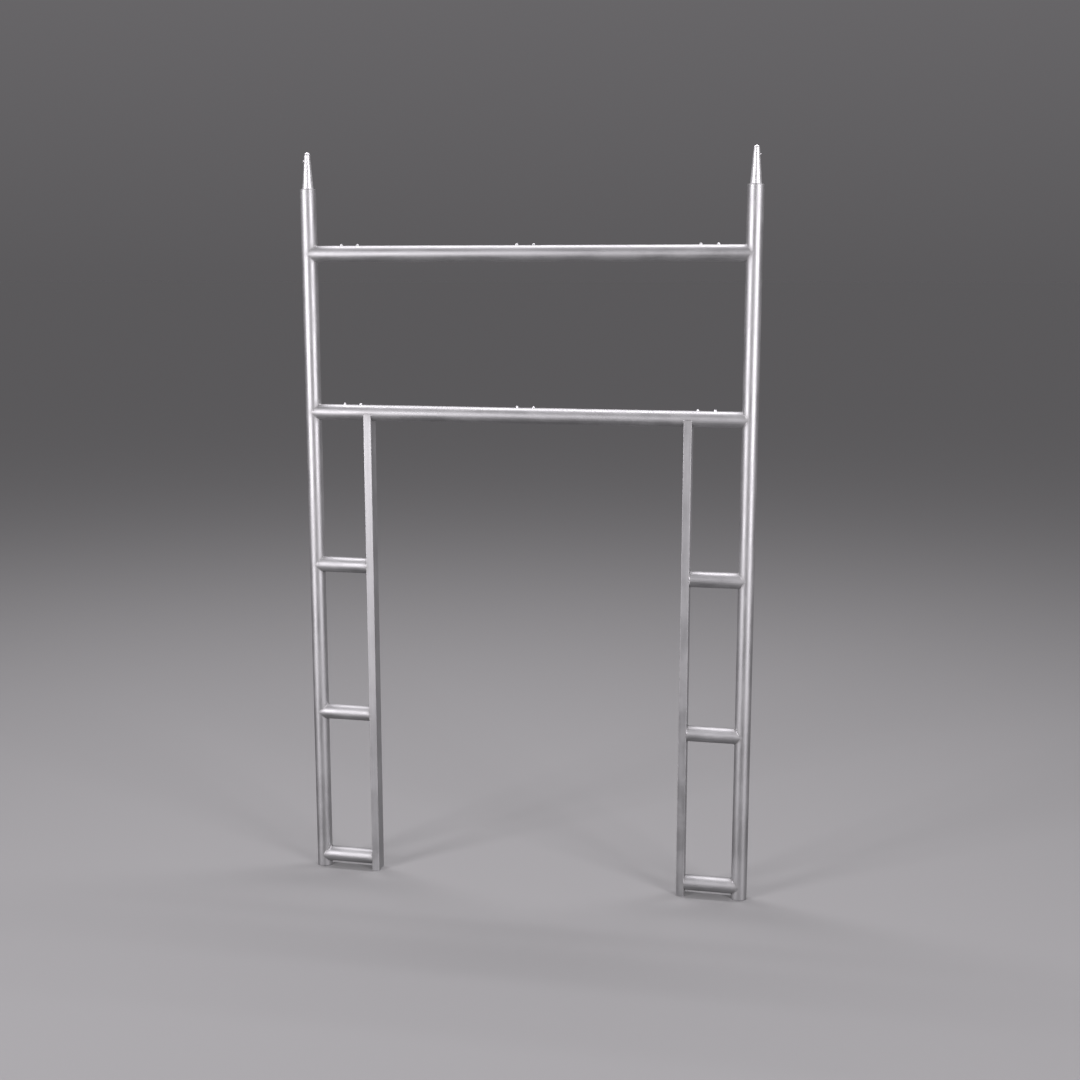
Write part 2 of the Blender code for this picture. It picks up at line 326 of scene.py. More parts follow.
def mix_colours(tree, share, first, second):
    """Mix of two colours; each is three numbers, or the output of another node."""
    mix = tree.nodes.new("ShaderNodeMix")
    mix.data_type = "RGBA"
    tree.links.new(share, mix.inputs["Factor"])
    colours = [socket for socket in mix.inputs if socket.type == "RGBA"]
    for socket, colour in zip(colours, (first, second)):
        if isinstance(colour, bpy.types.NodeSocket):
            tree.links.new(colour, socket)
        else:
            socket.default_value = (*colour, 1.0)
    return next(socket for socket in mix.outputs if socket.type == "RGBA")


# ---------------------------------------------------------------- finishes


class Finish:
    """One metal material, built from noise in the piece's own coordinates."""

    def __init__(self, name):
        self.material = bpy.data.materials.new(name)
        self.material.use_nodes = True
        self.tree = self.material.node_tree
        self.shader = self.tree.nodes["Principled BSDF"]
        self.shader.inputs["Metallic"].default_value = 1.0
        self.shader.inputs["Specular Tint"].default_value = (GRAZING_TINT, GRAZING_TINT, GRAZING_TINT, 1)
        self.place = self.spread_coordinates()
        self.normal = None

    def node(self, kind, **values):
        made = self.tree.nodes.new(kind)
        for key, value in values.items():
            setattr(made, key, value)
        return made

    def feed(self, node, socket, value):
        """Set a socket to a number or colour, or link it to another node's output."""
        if isinstance(value, bpy.types.NodeSocket):
            self.tree.links.new(value, node.inputs[socket])
        else:
            node.inputs[socket].default_value = value

    def spread_coordinates(self):
        """The piece's own coordinates, shifted by a different amount on each piece."""
        local = self.node("ShaderNodeTexCoord").outputs["Object"]
        shift = self.maths("MULTIPLY", self.node("ShaderNodeObjectInfo").outputs["Random"], PIECE_SHIFT)
        added = self.node("ShaderNodeVectorMath", operation="ADD")
        self.feed(added, 0, local)
        self.feed(added, 1, shift)
        return added.outputs[0]

    def maths(self, operation, a, b, clamp=False):
        made = self.node("ShaderNodeMath", operation=operation, use_clamp=clamp)
        self.feed(made, 0, a)
        self.feed(made, 1, b)
        return made.outputs[0]

    def weighted(self, first, second):
        """Sum of two values, each given with its weight."""
        return self.maths("ADD", self.maths("MULTIPLY", *first), self.maths("MULTIPLY", *second))

    def noise(self, stretch, detail=2.0, rough=0.5, turn=(0, 0, 0)):
        """Noise with the given cells per metre along each local axis."""
        mapping = self.node("ShaderNodeMapping")
        self.feed(mapping, "Vector", self.place)
        mapping.inputs["Rotation"].default_value = turn
        mapping.inputs["Scale"].default_value = stretch
        made = self.node("ShaderNodeTexNoise")
        self.feed(made, "Vector", mapping.outputs[0])
        made.inputs["Scale"].default_value = 1.0
        made.inputs["Detail"].default_value = detail
        made.inputs["Roughness"].default_value = rough
        return made.outputs["Fac"]

    def levels(self, value, low, high, out_low=0.0, out_high=1.0):
        made = self.node("ShaderNodeMapRange", interpolation_type="SMOOTHSTEP")
        self.feed(made, "Value", value)
        made.inputs["From Min"].default_value = low
        made.inputs["From Max"].default_value = high
        made.inputs["To Min"].default_value = out_low
        made.inputs["To Max"].default_value = out_high
        return made.outputs[0]

    def blend(self, share, first, second):
        return mix_colours(self.tree, share, first, second)

    def emboss(self, height, distance):
        """Add a layer of relief, in metres, over the layers so far."""
        made = self.node("ShaderNodeBump")
        made.inputs["Distance"].default_value = distance
        self.feed(made, "Height", height)
        if self.normal:
            self.feed(made, "Normal", self.normal)
        self.normal = made.outputs[0]

    def set(self, colour, roughness):
        self.feed(self.shader, "Base Color", colour)
        self.feed(self.shader, "Roughness", roughness)
        self.feed(self.shader, "Normal", self.normal)
        return self.material


def drawn_aluminium(name, light, dark, roughness):
    """Drawn tube: lengthwise die lines, soft bands, handling marks, and a dull, darker halo by the welds
    that is partly weld soot and partly painted shade in the joints.
    """
    finish = Finish(name)
    lines = finish.noise((850, 850, 9), detail=3.0, rough=0.62)
    bands = finish.noise((120, 120, 2.2), detail=2.0)
    cloud = finish.noise((16, 16, 9), detail=5.0, rough=0.6)
    grain = finish.noise((1500, 1500, 900), detail=1.0)
    speckle = finish.noise((330, 330, 260), detail=3.0, rough=0.7)
    patch = finish.noise((34, 34, 20), detail=3.0)
    across = finish.noise((420, 30, 700), detail=1.0, turn=(0.4, 0.7, 0.9))
    scuffs = finish.maths(
        "MULTIPLY", finish.levels(across, 0.70, 0.76), finish.levels(patch, 0.52, 0.66)
    )
    soot_shade = finish.node("ShaderNodeAttribute", attribute_name="weld_soot_shade").outputs["Fac"]
    tone = finish.weighted((bands, 0.55), (cloud, 0.45))
    tone = finish.weighted((tone, 0.65), (speckle, 0.35))
    colour = finish.blend(finish.levels(tone, 0.38, 0.62), dark, light)
    colour = finish.blend(finish.maths("MULTIPLY", scuffs, 0.5), colour, SCUFF_COLOUR)
    # darkens the tube towards the welds: partly weld soot, partly painted shade in the joints
    colour = finish.blend(finish.maths("MULTIPLY", soot_shade, 0.42), colour, SOOT_SHADE_COLOUR)
    texture = finish.maths("ADD", finish.levels(lines, 0.3, 0.7, -0.05, 0.05), roughness)
    texture = finish.maths("ADD", finish.levels(cloud, 0.35, 0.65, -0.035, 0.05), texture)
    texture = finish.maths("ADD", finish.levels(speckle, 0.35, 0.65, -0.025, 0.025), texture)
    texture = finish.maths("ADD", finish.maths("MULTIPLY", soot_shade, 0.10), texture)
    texture = finish.maths("SUBTRACT", texture, finish.maths("MULTIPLY", scuffs, 0.08), clamp=True)
    finish.emboss(bands, 0.00012)
    finish.emboss(lines, 0.00006)
    finish.emboss(speckle, 0.00004)
    finish.emboss(grain, 0.00002)
    finish.emboss(scuffs, -0.00005)
    return finish.set(colour, texture)


def machined_metal(name, light, dark, roughness, ridge_distance=0.00003):
    """Turned part: fine rings round local Z, with a few dull patches."""
    finish = Finish(name)
    rings = finish.noise((8, 8, 2600), detail=2.0, rough=0.6)
    patch = finish.noise((60, 60, 45), detail=4.0, rough=0.6)
    grain = finish.noise((1600, 1600, 1600), detail=1.0)
    colour = finish.blend(finish.levels(patch, 0.35, 0.68), light, dark)
    texture = finish.maths("ADD", finish.levels(patch, 0.35, 0.65, -0.04, 0.07), roughness)
    texture = finish.maths("ADD", finish.levels(rings, 0.3, 0.7, -0.03, 0.03), texture, clamp=True)
    finish.emboss(rings, ridge_distance)
    finish.emboss(grain, 0.00002)
    return finish.set(colour, texture)


def dressed_metal(name, light, dark, roughness):
    """Small pieces without a direction: fine sanding grain and a mottled skin."""
    finish = Finish(name)
    grain = finish.noise((1300, 1300, 1300), detail=3.0, rough=0.65)
    patch = finish.noise((140, 140, 140), detail=4.0)
    colour = finish.blend(finish.levels(patch, 0.35, 0.65), light, dark)
    texture = finish.maths("ADD", finish.levels(grain, 0.3, 0.7, -0.05, 0.08), roughness, clamp=True)
    finish.emboss(grain, 0.00003)
    return finish.set(colour, texture)


def weld_metal(name, light, dark, roughness):
    """Frosty bead with duller patches."""
    finish = Finish(name)
    frost = finish.noise((900, 900, 900), detail=4.0, rough=0.7)
    patch = finish.noise((70, 70, 70), detail=3.0)
    colour = finish.blend(finish.levels(patch, 0.35, 0.7), light, dark)
    texture = finish.maths("ADD", finish.levels(frost, 0.3, 0.7, -0.06, 0.12), roughness, clamp=True)
    finish.emboss(frost, 0.00006)
    return finish.set(colour, texture)


TUBE_METAL = drawn_aluminium("drawn_round_tube", TUBE_LIGHT, TUBE_DARK, TUBE_ROUGHNESS)
LEG_METAL = drawn_aluminium("drawn_leg_tube", TUBE_LIGHT, TUBE_DARK, TUBE_ROUGHNESS)
SPIGOT_METAL = machined_metal("bright_spigot", (0.98, 0.98, 0.985), (0.93, 0.93, 0.935), 0.50)
STUD_METAL = dressed_metal("stud_aluminium", (0.88, 0.885, 0.89), (0.78, 0.785, 0.79), 0.40)
PIN_METAL = dressed_metal("dressed_pin", (0.64, 0.64, 0.65), (0.57, 0.57, 0.58), 0.50)
BUTTON_METAL = machined_metal("button_steel", (0.90, 0.895, 0.905), (0.82, 0.815, 0.825), 0.38, 0.00001)
SPRING_METAL = dressed_metal("spring_strip", (0.46, 0.47, 0.50), (0.30, 0.31, 0.34), 0.30)
WELD_METAL = weld_metal("weld_bead", BEAD_LIGHT, BEAD_DARK, 0.42)


def hand_over(obj, material, slot, node=None, body=FRAME_BODY):
    """Give a finished piece its material, its body and the node that it replaces, if any."""
    obj.data.shade_smooth()
    obj.data.set_sharp_from_angle(angle=SHARP_ANGLE)
    obj.data.materials.clear()
    obj.data.materials.append(material)
    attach(obj, body)
    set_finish(obj, slot)
    if node:
        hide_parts(node)
    return obj


# ---------------------------------------------------------------- weld beads

weld_points = []


def evenly(path_at, samples):
    """Parameters from 0 to 1 that space a closed path evenly, and the path's length."""
    rough = 4 * samples
    points = [path_at(i / rough) for i in range(rough + 1)]
    running = [0.0]
    for here, there in zip(points, points[1:]):
        running.append(running[-1] + (there - here).length)
    total = running[-1]
    index, found = 0, []
    for step in range(samples):
        wanted = total * step / samples
        while running[index + 1] < wanted:
            index += 1
        span = running[index + 1] - running[index]
        found.append((index + (wanted - running[index]) / span) / rough)
    return found, total


def weld_bead(name, path_at, main_normal, branch_normal, on_main, on_branch, placement, seed):
    """Rippled fillet along the seam between two surfaces, in the branch tube's own frame.

    path_at(t) runs once round the branch for t from 0 to 1, anticlockwise about local Z.
    on_main and on_branch move a point onto each surface.
    """
    draw = random.Random(seed)
    phases = [draw.uniform(0, math.tau) for _ in range(3)]
    length = evenly(path_at, BEAD_MEASURE_SAMPLES)[1]
    ripples = round(length / BEAD_PITCH)
    places = evenly(path_at, ripples * BEAD_STEPS)[0]
    count = len(places)
    rings = []
    for i, t in enumerate(places):
        here = path_at(t)
        run = path_at((t + TANGENT_STEP) % 1) - path_at((t - TANGENT_STEP) % 1)
        run.normalize()
        first = main_normal(here)
        second = branch_normal(here)
        out_main = run.cross(first).normalized()
        out_branch = second.cross(run).normalized()
        squareness = max(0.0, 1 - first.dot(second))
        angle = math.tau * i / count
        drift = sum(
            size * math.sin(waves * angle + phase) for (waves, size), phase in zip(BEAD_DRIFT, phases)
        )
        width = (BEAD_FLAT + (BEAD_LEG - BEAD_FLAT) * squareness) * (1 + drift)
        waves, size = CROWN_DRIFT
        crown = BEAD_CROWN * (1 + 2 * drift + size * math.sin(waves * angle + phases[-1]))
        ripple_phase = ripples * i / count
        bulge = (first + second).normalized()
        edge = 1 + TOE_RIPPLE * math.cos(math.tau * ripple_phase)
        toe_main = on_main(here + out_main * width * edge)
        toe_branch = on_branch(here + out_branch * width * edge)
        ring = []
        for k in range(BEAD_POINTS):
            share = k / (BEAD_POINTS - 1)
            hump = 4 * share * (1 - share)
            scale = (ripple_phase + RIPPLE_BOW * hump) % 1
            ridge = 1 - RIPPLE_DEPTH + RIPPLE_DEPTH * math.sin(math.pi * scale) ** RIPPLE_POWER
            point = toe_main.lerp(toe_branch, share) + bulge * (crown * hump * ridge)
            ring.append(point)
        ring.append(here - bulge * BEAD_SUNK)
        rings.append(ring)
        if i % BEAD_STEPS == 0:
            weld_points.append(placement @ here)
    obj = skin(name, rings, placement, closed=True)
    return hand_over(obj, WELD_METAL, "weld")


def radial(point, along_x=False):
    """Outward normal of a tube along local Z, or along local X."""
    if along_x:
        return Vector((0, point.y, point.z)).normalized()
    return Vector((point.x, point.y, 0)).normalized()


def onto_tube(point, along_x=False):
    """Move a point onto a round tube's surface, a hair below it."""
    outward = radial(point, along_x)
    on_axis = Vector((point.x, 0, 0)) if along_x else Vector((0, 0, point.z))
    return on_axis + outward * (TUBE_RADIUS - TOE_SUNK)


def weld_tube_to_post(name, placement, seed):
    """Saddle weld where a tube meets a post of its own diameter. Local Z leaves the post's axis."""

    def path_at(t):
        angle = math.tau * t
        x, y = TUBE_RADIUS * math.cos(angle), TUBE_RADIUS * math.sin(angle)
        return Vector((x, y, math.hypot(x, BEAD_SOFTENING) if abs(x) < TUBE_RADIUS else abs(x)))

    return weld_bead(
        name,
        path_at,
        lambda p: radial(p, True),
        radial,
        lambda p: onto_tube(p, True),
        onto_tube,
        placement,
        seed,
    )


def past_flat(y, half_depth):
    """How far a point of the leg's side face, at y from its middle, lies into a rounded corner."""
    return max(0.0, abs(y) - (half_depth - LEG_CORNER))


def corner_inset(y, half_depth):
    """How far the leg's side face has rounded away at a distance y from its middle."""
    past = past_flat(y, half_depth)
    return LEG_CORNER - math.sqrt(max(0.0, LEG_CORNER**2 - past**2))


def weld_tube_to_leg(name, reach, half_depth, placement, seed):
    """Weld round a rung's square end on the side of the inner leg, at local z = reach."""

    def on_leg(point):
        y = max(-half_depth, min(half_depth, point.y))
        return Vector((point.x, y, reach + corner_inset(y, half_depth)))

    def leg_normal(point):
        lean = math.asin(min(1.0, past_flat(point.y, half_depth) / LEG_CORNER))
        return Vector((0, math.copysign(math.sin(lean), point.y), -math.cos(lean)))

    def path_at(t):
        angle = -math.tau * t
        return on_leg(Vector((TUBE_RADIUS * math.cos(angle), TUBE_RADIUS * math.sin(angle), 0)))

    return weld_bead(
        name,
        path_at,
        leg_normal,
        radial,
        on_leg,
        onto_tube,
        placement,
        seed,
    )


# ---------------------------------------------------------------- round tubes


def tube_rings(length_marks, start, end, rims=False):
    """Rings up the outer wall and back down the bore; start(y) and end(y) give the two ends."""

    def ring(radius, share, inset=0.0):
        made = []
        for x, y, _ in circle(radius, 0, TUBE_POINTS):
            low, high = start(y), end(y)
            made.append((x, y, low + (high - low) * share + inset))
        return made

    if rims:
        step = RIM_CHAMFER * ROUNDING
        rings = [
            ring(TUBE_RADIUS - RIM_CHAMFER, 0),
            ring(TUBE_RADIUS - step, 0, step),
            ring(TUBE_RADIUS, 0, RIM_CHAMFER),
        ]
        rings += [ring(TUBE_RADIUS, share) for share in length_marks[1:-1]]
        rings += [
            ring(TUBE_RADIUS, 1, -RIM_CHAMFER),
            ring(TUBE_RADIUS - step, 1, -step),
            ring(TUBE_RADIUS - RIM_CHAMFER, 1),
        ]
    else:
        rings = [ring(TUBE_RADIUS, share) for share in length_marks]
    rings += [ring(TUBE_BORE, share) for share in (1.0, 0.5, 0.0)]
    return rings


def make_post(side):
    """Post with rounded rims and a hole through it for the spigot's pin."""
    node = f"{side}_post"
    pin_middle = centre(f"{side}_spigot_pin")
    levels = RUNG_Z + list(LEDGER_Z.values()) + [pin_middle.z]
    rings = tube_rings(stations(POST_HEIGHT, levels), lambda y: 0.0, lambda y: POST_HEIGHT, rims=True)
    placement = Matrix.Translation((POST_X[side], 0, 0))
    post = skin(f"{node}_tube", rings, placement, closed=True)
    pin_low, pin_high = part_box(f"{side}_spigot_pin")
    hole_radius = (pin_high.z - pin_low.z) / 2 + PIN_CLEARANCE
    drill(post, hole_radius, 4 * TUBE_RADIUS, pin_middle, Matrix.Rotation(math.pi / 2, 4, "X"))
    return hand_over(post, TUBE_METAL, "round_tube", node)


def make_ledger(name):
    """Tube between the posts, coped to both."""
    node = f"{name}_ledger"
    length = POST_X["right"] - POST_X["left"]
    rings = tube_rings(stations(length, (0.0, length)), saddle, lambda y: length - saddle(y))
    placement = Matrix.Translation((POST_X["left"], 0, LEDGER_Z[name])) @ turn_to_x(1)
    ledger = skin(f"{node}_tube", rings, placement, closed=True)
    return hand_over(ledger, TUBE_METAL, "round_tube", node)


def make_rung(side, sign, number):
    """Rung coped to the post and square against the inner leg, with a weld at each end."""
    node = f"{side}_rung_{number}"
    leg_low, leg_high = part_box(f"{side}_inner_leg")
    reach = min(abs(POST_X[side] - leg_low.x), abs(POST_X[side] - leg_high.x))
    half_depth = (leg_high.y - leg_low.y) / 2
    marks = stations(reach, (0.0, reach))
    rings = tube_rings(marks, saddle, lambda y: reach + corner_inset(y, half_depth))
    placement = Matrix.Translation((POST_X[side], 0, RUNG_Z[number - 1])) @ turn_to_x(-sign)
    rung = skin(f"{node}_tube", rings, placement, closed=True)
    hand_over(rung, TUBE_METAL, "round_tube", node)
    seed = 10 * number + sign
    weld_tube_to_post(f"{node}_post_weld", placement, seed)
    weld_tube_to_leg(f"{node}_leg_weld", reach, half_depth, placement, seed + 5)


# ---------------------------------------------------------------- inner legs


def leg_outline(half_width, half_depth, corner):
    """Points and normals round the leg's section, anticlockwise, the same number for any corner."""
    found = []
    for turn in range(4):
        faces_x = turn % 2 == 0
        angle = math.pi / 2 * turn
        stand, half_side = (half_width, half_depth) if faces_x else (half_depth, half_width)
        count = SIDE_POINTS if faces_x else FACE_POINTS
        normal = Vector((math.cos(angle), math.sin(angle)))
        along = Vector((-math.sin(angle), math.cos(angle)))
        flat = half_side - corner
        for i in range(count):
            found.append((normal * stand + along * flat * (2 * i / count - 1), normal))
        corner_middle = normal * (stand - corner) + along * flat
        for i in range(CORNER_POINTS):
            lean = angle + math.pi / 2 * i / CORNER_POINTS
            direction = Vector((math.cos(lean), math.sin(lean)))
            found.append((corner_middle + direction * corner, direction))
    return found


def make_inner_leg(side, sign):
    """Rectangular tube, coped to the lower ledger, with its weld."""
    node = f"{side}_inner_leg"
    low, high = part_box(node)
    half_width, half_depth = (high.x - low.x) / 2, (high.y - low.y) / 2
    ledger_z = LEDGER_Z["lower"]
    outer = leg_outline(half_width, half_depth, LEG_CORNER)
    inner = leg_outline(half_width - LEG_WALL, half_depth - LEG_WALL, LEG_BORE_CORNER)

    def ring(outline, share, inset=0.0, shrink=0.0):
        made = []
        for point, normal in outline:
            place = point - normal * shrink
            top = ledger_z - saddle(point.y)
            made.append((place.x, place.y, top * share + inset))
        return made

    marks = stations(ledger_z, RUNG_Z + [ledger_z])
    rings = [ring(outer, 0, shrink=LEG_FOOT_CHAMFER), ring(outer, 0, inset=LEG_FOOT_CHAMFER)]
    rings += [ring(outer, share) for share in marks[1:]]
    rings += [ring(inner, share) for share in (1.0, 0.5, 0.0)]
    placement = Matrix.Translation(((low.x + high.x) / 2, 0, 0))
    leg = skin(f"{node}_tube", rings, placement, closed=True)
    leg.modifiers.new("even_faces", "WEIGHTED_NORMAL").keep_sharp = True
    hand_over(leg, LEG_METAL, "inner_leg", node)
    weld_leg_to_ledger(f"{node}_ledger_weld", outer, (low.x + high.x) / 2, ledger_z, 70 + sign)


def weld_leg_to_ledger(name, outline, x, ledger_z, seed):
    """Weld round the coped top of an inner leg. Local Z runs down from the ledger's axis."""
    placement = Matrix.Translation((x, 0, ledger_z)) @ Matrix.Rotation(math.pi, 4, "X")
    points = [Vector((point.x, -point.y)) for point, normal in outline]
    normals = [Vector((normal.x, -normal.y)) for point, normal in outline]
    points.reverse()
    normals.reverse()
    count = len(points)

    def around(values, t):
        exact = (t % 1) * count
        index = int(exact) % count
        return values[index].lerp(values[(index + 1) % count], exact - int(exact))

    def path_at(t):
        flat = around(points, t)
        return Vector((flat.x, flat.y, math.hypot(saddle(flat.y), BEAD_SOFTENING / 2)))

    def nearest_normal(p):
        index = min(range(count), key=lambda i: (points[i].x - p.x) ** 2 + (points[i].y - p.y) ** 2)
        return Vector((normals[index].x, normals[index].y, 0))

    return weld_bead(
        name,
        path_at,
        lambda p: radial(p, True),
        nearest_normal,
        lambda p: onto_tube(p, True),
        lambda p: p,
        placement,
        seed,
    )


# ---------------------------------------------------------------- spigots, pins, catches, studs


def make_spigot(side, sign):
    """Tapered plug with a rounded tip and a fillet, hollow below, with a hole for the catch button."""
    node = f"{side}_spigot"
    low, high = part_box(node)
    tip = high.z - POST_HEIGHT
    root_length = POST_HEIGHT - low.z
    root = (high.y - low.y) / 2
    dome_start = tip - SPIGOT_DOME
    bore = root - SPIGOT_WALL

    def cone(height):
        return SPIGOT_BASE_RADIUS - SPIGOT_TAPER * height

    profile = arc_dome(cone(dome_start), dome_start, SPIGOT_DOME, DOME_STEPS)
    heights = [dome_start * (1 - step / CONE_STEPS) for step in range(1, CONE_STEPS)]
    profile += [(cone(height), height) for height in heights]
    profile += [
        (SPIGOT_BASE_RADIUS, SPIGOT_FILLET),
        (SPIGOT_BASE_RADIUS + ROUNDING * SPIGOT_FILLET, ROUNDING * SPIGOT_FILLET),
        (SPIGOT_BASE_RADIUS + SPIGOT_FILLET, 0),
        (root - RIM_CHAMFER, 0),
        (root, -RIM_CHAMFER),
        (root, -root_length + RIM_CHAMFER),
        (root - RIM_CHAMFER, -root_length),
        (SPIGOT_FLOOR_HOLE, -root_length),
        (SPIGOT_FLOOR_HOLE, SPIGOT_FLOOR - root_length),
        (bore, SPIGOT_FLOOR - root_length),
        (bore, -SHOULDER_DEPTH),
        (SPIGOT_BASE_RADIUS - SPIGOT_WALL, 0),
        (cone(SPIGOT_CAVITY_TOP) - SPIGOT_WALL, SPIGOT_CAVITY_TOP),
        (0, SPIGOT_CAVITY_TOP),
    ]
    placement = Matrix.Translation((POST_X[side], 0, POST_HEIGHT))
    spigot = turned(f"{side}_stacking_spigot", profile, SPIGOT_POINTS, placement)
    button = centre(f"{side}_catch_button")
    middle = Vector((POST_X[side] + sign * BUTTON_HOLE_LENGTH / 2, 0, button.z))
    drill(spigot, BUTTON_RADIUS + BUTTON_CLEARANCE, BUTTON_HOLE_LENGTH, middle, turn_to_x(1))
    return hand_over(spigot, SPIGOT_METAL, "spigot", node)


def make_pin(side):
    """Cross pin with both ends dressed to the curve of the post."""
    node = f"{side}_spigot_pin"
    low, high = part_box(node)
    radius = (high.z - low.z) / 2

    def end_ring(r, sign, drop):
        return [
            (x, y, sign * (saddle(x) - PIN_DISH - drop))
            for x, y, _ in circle(r, 0, SMALL_POINTS)
        ]

    face = [(radius * step / PIN_FACE_STEPS, 0.0) for step in range(1, PIN_FACE_STEPS)]
    face += [(radius - PIN_CHAMFER, 0.0), (radius - ROUNDING * PIN_CHAMFER, ROUNDING * PIN_CHAMFER)]
    face.append((radius, PIN_CHAMFER))
    flat = TUBE_RADIUS - PIN_DISH
    rings = [[(0, 0, flat)]]
    rings += [end_ring(r, 1, drop) for r, drop in face]
    rings += [end_ring(r, -1, drop) for r, drop in reversed(face)]
    rings.append([(0, 0, -flat)])
    placement = Matrix.Translation(centre(node)) @ Matrix.Rotation(-math.pi / 2, 4, "X")
    pin = skin(f"{side}_cross_pin", rings, placement)
    return hand_over(pin, PIN_METAL, "spigot_pin", node)


def make_button(side, sign):
    """Domed button with a flange behind the spigot's wall."""
    node = f"{side}_catch_button"
    low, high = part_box(node)
    inner, outer = sorted((abs(low.x - POST_X[side]), abs(high.x - POST_X[side])))
    flange = (high.y - low.y) / 2
    profile = arc_dome(BUTTON_RADIUS, outer - BUTTON_RADIUS, BUTTON_RADIUS, DOME_STEPS)
    profile += [
        (BUTTON_RADIUS, inner + BUTTON_FLANGE),
        (flange - BUTTON_CHAMFER, inner + BUTTON_FLANGE),
        (flange, inner + BUTTON_FLANGE - BUTTON_CHAMFER),
        (flange, inner + BUTTON_CHAMFER),
        (flange - BUTTON_CHAMFER, inner),
        (0, inner),
    ]
    placement = Matrix.Translation((POST_X[side], 0, centre(node).z)) @ turn_to_x(sign)
    button = turned(f"{side}_catch_dome", profile, SMALL_POINTS, placement)
    return hand_over(button, BUTTON_METAL, "catch_button", node, f"{side}_catch")


def make_spring(side, sign):
    """Hairpin of flat strip inside the spigot, between the button and the far wall."""
    radius, bend_z = SPRING_BEND
    path = [(SPRING_LEGS[0], SPRING_TOP)]
    for step in range(SPRING_BEND_STEPS + 1):
        angle = -math.pi * step / SPRING_BEND_STEPS
        path.append((radius * math.cos(angle), bend_z + radius * math.sin(angle)))
    path.append((SPRING_LEGS[1], SPRING_TOP))
    inset_y = SPRING_WIDTH / 2 - SPRING_EDGE
    inset_n = SPRING_THICKNESS / 2 - SPRING_EDGE
    section = []
    for corner, (along_y, along_n) in enumerate(((1, 1), (-1, 1), (-1, -1), (1, -1))):
        for step in range(SPRING_CORNER_STEPS + 1):
            angle = math.pi / 2 * (corner + step / SPRING_CORNER_STEPS)
            y = along_y * inset_y + SPRING_EDGE * math.cos(angle)
            section.append((y, along_n * inset_n + SPRING_EDGE * math.sin(angle)))
    rings = []
    for index, (x, z) in enumerate(path):
        before, after = path[max(0, index - 1)], path[min(len(path) - 1, index + 1)]
        run = Vector((after[0] - before[0], after[1] - before[1])).normalized()
        rings.append([(x + run.y * n, y, z - run.x * n) for y, n in section])
    first, last = path[0], path[-1]
    rings = [[(first[0], 0, first[1])]] + rings + [[(last[0], 0, last[1])]]
    turn = Matrix.Rotation(0 if sign > 0 else math.pi, 4, "Z")
    placement = Matrix.Translation((POST_X[side], 0, centre(f"{side}_catch_button").z)) @ turn
    spring = skin(f"{side}_catch_hairpin", rings, placement)
    hand_over(spring, SPRING_METAL, "catch_spring", f"{side}_catch_spring")
    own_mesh(spring)


def make_stud(level, number):
    """Low dome on the crown of a ledger, with a small flare where it is fixed."""
    node = f"{level}_deck_stud_{number}"
    low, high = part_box(node)
    radius = (high.y - low.y) / 2
    crown = high.z - LEDGER_Z[level]
    base = TUBE_RADIUS + STUD_SKIRT
    profile = arc_dome(radius, base, crown - base, STUD_DOME_STEPS)
    rings = [circle(r, z, SMALL_POINTS) if r else [(0, 0, z)] for r, z in profile]
    for grow, lift in STUD_FLARE_CURVE:
        rings.append(
            [
                (x, y, saddle(y) + STUD_FLARE * lift - STUD_SUNK)
                for x, y, _ in circle(radius + STUD_FLARE * grow, 0, SMALL_POINTS)
            ]
        )
    rings.append([(0, 0, TUBE_BORE)])
    placement = Matrix.Translation((centre(node).x, 0, LEDGER_Z[level]))
    stud = skin(f"{level}_stud_dome_{number}", rings, placement)
    return hand_over(stud, STUD_METAL, "deck_stud", node)


# ---------------------------------------------------------------- the object


def soot_shade_halo(obj, tree):
    """Store on each vertex how close it is to a weld, from 0 to 1; the tube finishes darken with it,
    partly as weld soot and partly as painted shade in the joints.
    """
    mesh = obj.data
    world = obj.matrix_world
    layer = mesh.attributes.new("weld_soot_shade", "FLOAT", "POINT")
    values = []
    for vertex in mesh.vertices:
        distance = tree.find(world @ vertex.co)[2]
        values.append(max(0.0, 1 - distance / SOOT_SHADE_REACH) ** 2)
    layer.data.foreach_set("value", values)


def build_object():
    for count, level in enumerate(LEDGER_Z):
        make_ledger(level)
        for number in STUD_NUMBERS:
            make_stud(level, number)
        for side, sign in SIDES:
            placement = Matrix.Translation((POST_X[side], 0, LEDGER_Z[level])) @ turn_to_x(-sign)
            weld_tube_to_post(f"{level}_ledger_{side}_weld", placement, 50 + 4 * count + sign)
    for side, sign in SIDES:
        make_post(side)
        make_spigot(side, sign)
        make_pin(side)
        make_button(side, sign)
        make_inner_leg(side, sign)
        for number in RUNG_NUMBERS:
            make_rung(side, sign, number)
        make_spring(side, sign)
    bpy.context.view_layer.update()
    tree = KDTree(len(weld_points))
    for index, point in enumerate(weld_points):
        tree.insert(point, index)
    tree.balance()
    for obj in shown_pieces():
        if obj.get("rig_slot") in ("round_tube", "inner_leg"):
            soot_shade_halo(obj, tree)


# ---------------------------------------------------------------- studio


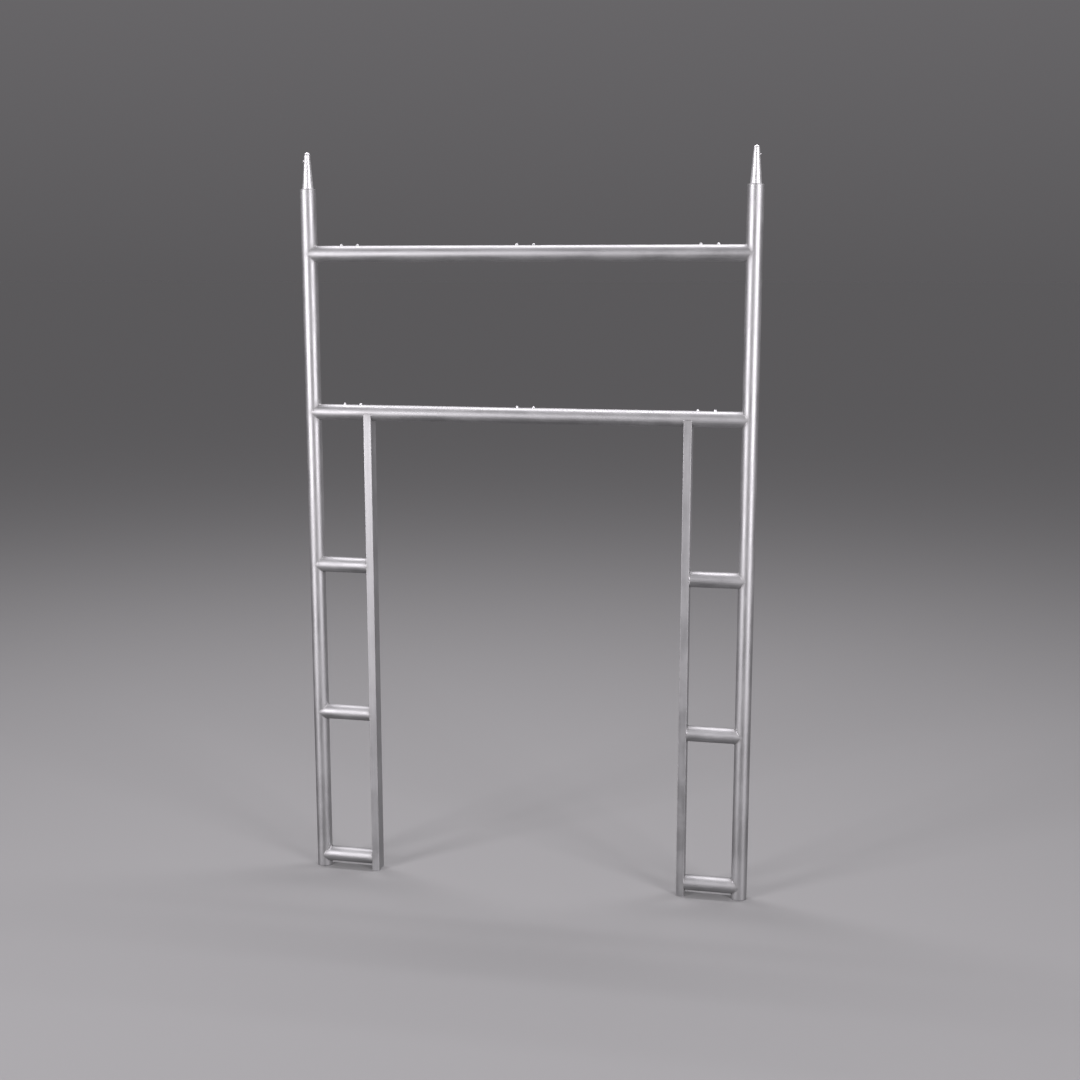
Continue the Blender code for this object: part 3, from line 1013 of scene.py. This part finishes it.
def make_floor():
    """Floor to beyond the horizon, left out of the metal's reflections."""
    bm = bmesh.new()
    bmesh.ops.create_grid(bm, x_segments=8, y_segments=8, size=FLOOR_REACH)
    floor = add_object("studio_floor", bm, Matrix.Identity(4))
    material = bpy.data.materials.new("pale_floor")
    material.use_nodes = True
    shader = material.node_tree.nodes["Principled BSDF"]
    shader.inputs["Base Color"].default_value = (*FLOOR_COLOUR, 1)
    shader.inputs["Roughness"].default_value = FLOOR_ROUGHNESS
    floor.data.materials.append(material)
    floor.visible_glossy = False
    floor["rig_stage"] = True


def make_softbox(name, location, target, size, watts, spread):
    light = bpy.data.lights.new(name, "AREA")
    light.shape = "RECTANGLE"
    light.size, light.size_y = size
    light.energy = watts
    light.spread = spread
    light.color = LIGHT_COLOUR
    obj = bpy.data.objects.new(name, light)
    obj.location = location
    obj.rotation_mode = "QUATERNION"
    obj.rotation_quaternion = (Vector(target) - Vector(location)).to_track_quat("-Z", "Y")
    obj.visible_camera = False
    bpy.context.scene.collection.objects.link(obj)


def make_world():
    """Grey surroundings, lighter overhead, that meet the far floor without an edge.

    The metal doesn't mirror the floor. Below the floor's far edge the surroundings stand in for it:
    dark, as a grey studio floor is, and pale behind the object.
    """
    world = bpy.data.worlds.new("studio")
    world.use_nodes = True
    tree = world.node_tree
    nodes, links = tree.nodes, tree.links
    direction = nodes.new("ShaderNodeSeparateXYZ")
    links.new(nodes.new("ShaderNodeTexCoord").outputs["Generated"], direction.inputs[0])
    sky = mix_colours(tree, direction.outputs["Z"], HORIZON_COLOUR, ZENITH_COLOUR)
    below = nodes.new("ShaderNodeMath")
    below.operation = "LESS_THAN"
    below.inputs[1].default_value = FLOOR_EDGE
    links.new(direction.outputs["Z"], below.inputs[0])
    rear = nodes.new("ShaderNodeMapRange")
    rear.interpolation_type = "SMOOTHSTEP"
    rear.inputs["From Min"].default_value, rear.inputs["From Max"].default_value = REAR_SPREAD
    links.new(direction.outputs["Y"], rear.inputs["Value"])
    links.new(below.outputs[0], rear.inputs["To Max"])
    background = mix_colours(tree, rear.outputs[0], sky, REAR_COLOUR)
    links.new(background, nodes["Background"].inputs["Color"])
    bpy.context.scene.world = world


def make_studio():
    make_floor()
    make_world()
    for name, settings in SOFTBOXES.items():
        make_softbox(name, *settings)


def make_camera():
    data = bpy.data.cameras.new("camera")
    data.lens = LENS_MM
    data.sensor_width = SENSOR_MM
    camera = bpy.data.objects.new("camera", data)
    camera.location = CAMERA_PLACE
    camera.rotation_euler = (CAMERA_PITCH, 0, CAMERA_TURN)
    bpy.context.scene.collection.objects.link(camera)
    bpy.context.scene.camera = camera


build_object()
make_studio()
make_camera()
bpy.context.scene.view_settings.view_transform = "Standard"

sizes = {"cad": cad_bounds, "visual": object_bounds()}
{key: [list(corner) for corner in corners] for key, corners in sizes.items()}
